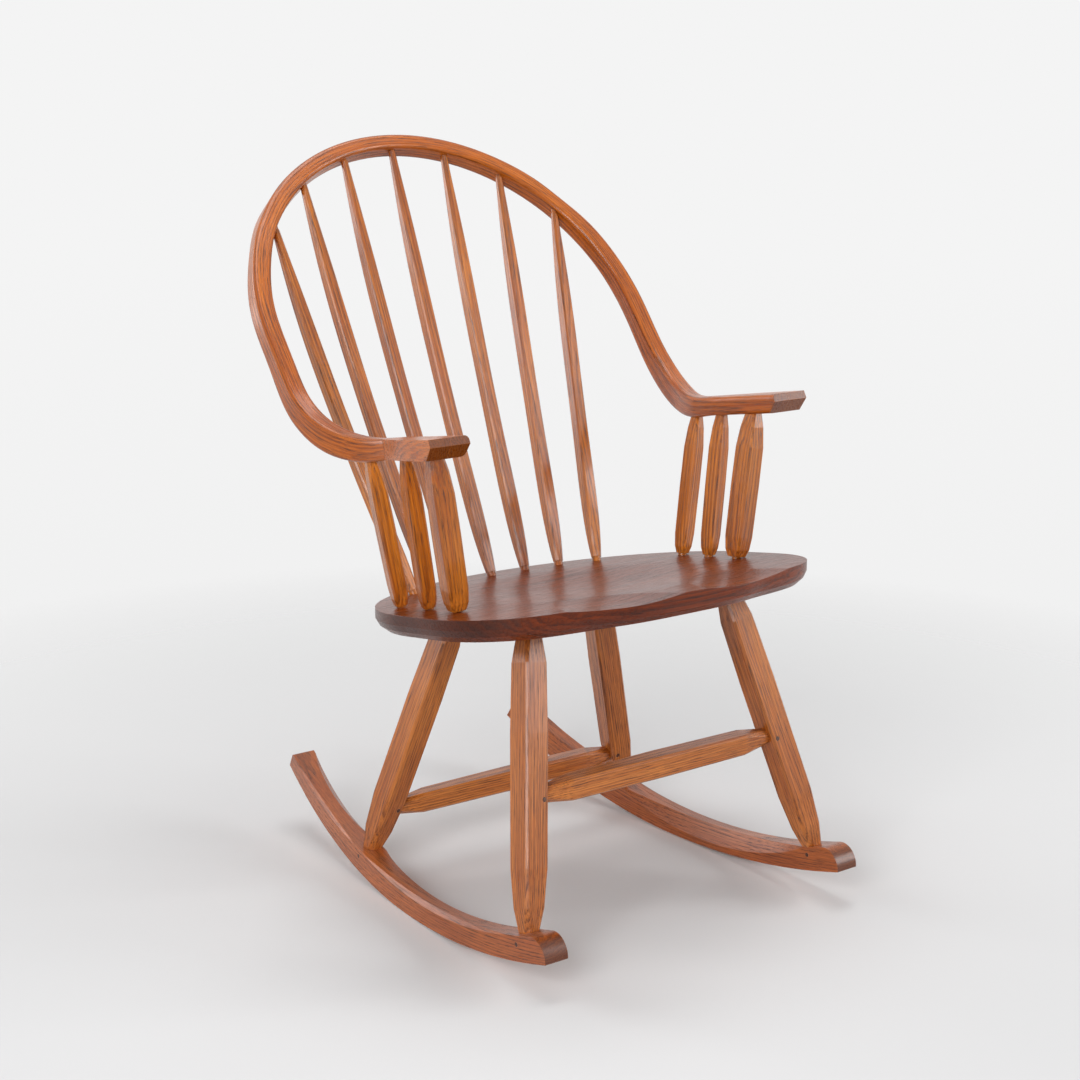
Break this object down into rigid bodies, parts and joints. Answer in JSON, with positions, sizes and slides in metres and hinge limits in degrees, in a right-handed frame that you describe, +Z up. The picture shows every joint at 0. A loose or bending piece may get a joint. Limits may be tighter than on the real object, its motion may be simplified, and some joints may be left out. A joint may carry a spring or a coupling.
{
  "type": "rocking chair",
  "caption": "Hoop back rocking chair in stained oak: steam-bent hoop running into both arms, faceted spindles, saddled plank seat, splayed legs on rockers.",
  "frame": {"origin": "centre of the whole chair's box, at floor level, where both rockers stand at rest", "axes": "+Z up, the sitter faces -Y, +X to the sitter's left"},
  "size_m": [0.6642, 0.7927, 1.046],
  "materials": {
    "stained_oak": "glossy varnish over an orange-brown stain, open oak grain",
    "seat_oak": "glossy varnish over a red-brown stain",
    "pin_wood": "varnished end grain, dark"
  },
  "bodies": {
    "root": {"hoop": "stained_oak", "left_arm_pad": "stained_oak", "right_arm_pad": "stained_oak", "back_spindle_1": "stained_oak", "back_spindle_2": "stained_oak", "back_spindle_3": "stained_oak", "back_spindle_4": "stained_oak", "back_spindle_5": "stained_oak", "back_spindle_6": "stained_oak", "back_spindle_7": "stained_oak", "left_rear_arm_spindle": "stained_oak", "left_middle_arm_spindle": "stained_oak", "left_arm_post": "stained_oak", "right_rear_arm_spindle": "stained_oak", "right_middle_arm_spindle": "stained_oak", "right_arm_post": "stained_oak", "seat_board_1": "seat_oak", "seat_board_2": "seat_oak", "seat_board_3": "seat_oak", "seat_board_4": "seat_oak", "left_front_leg": "stained_oak", "left_rear_leg": "stained_oak", "left_rocker": "stained_oak", "right_front_leg": "stained_oak", "right_rear_leg": "stained_oak", "right_rocker": "stained_oak", "front_stretcher": "stained_oak", "rear_stretcher": "stained_oak", "rocker_pins": "pin_wood", "stretcher_pins": "pin_wood"}
  },
  "joints": []
}
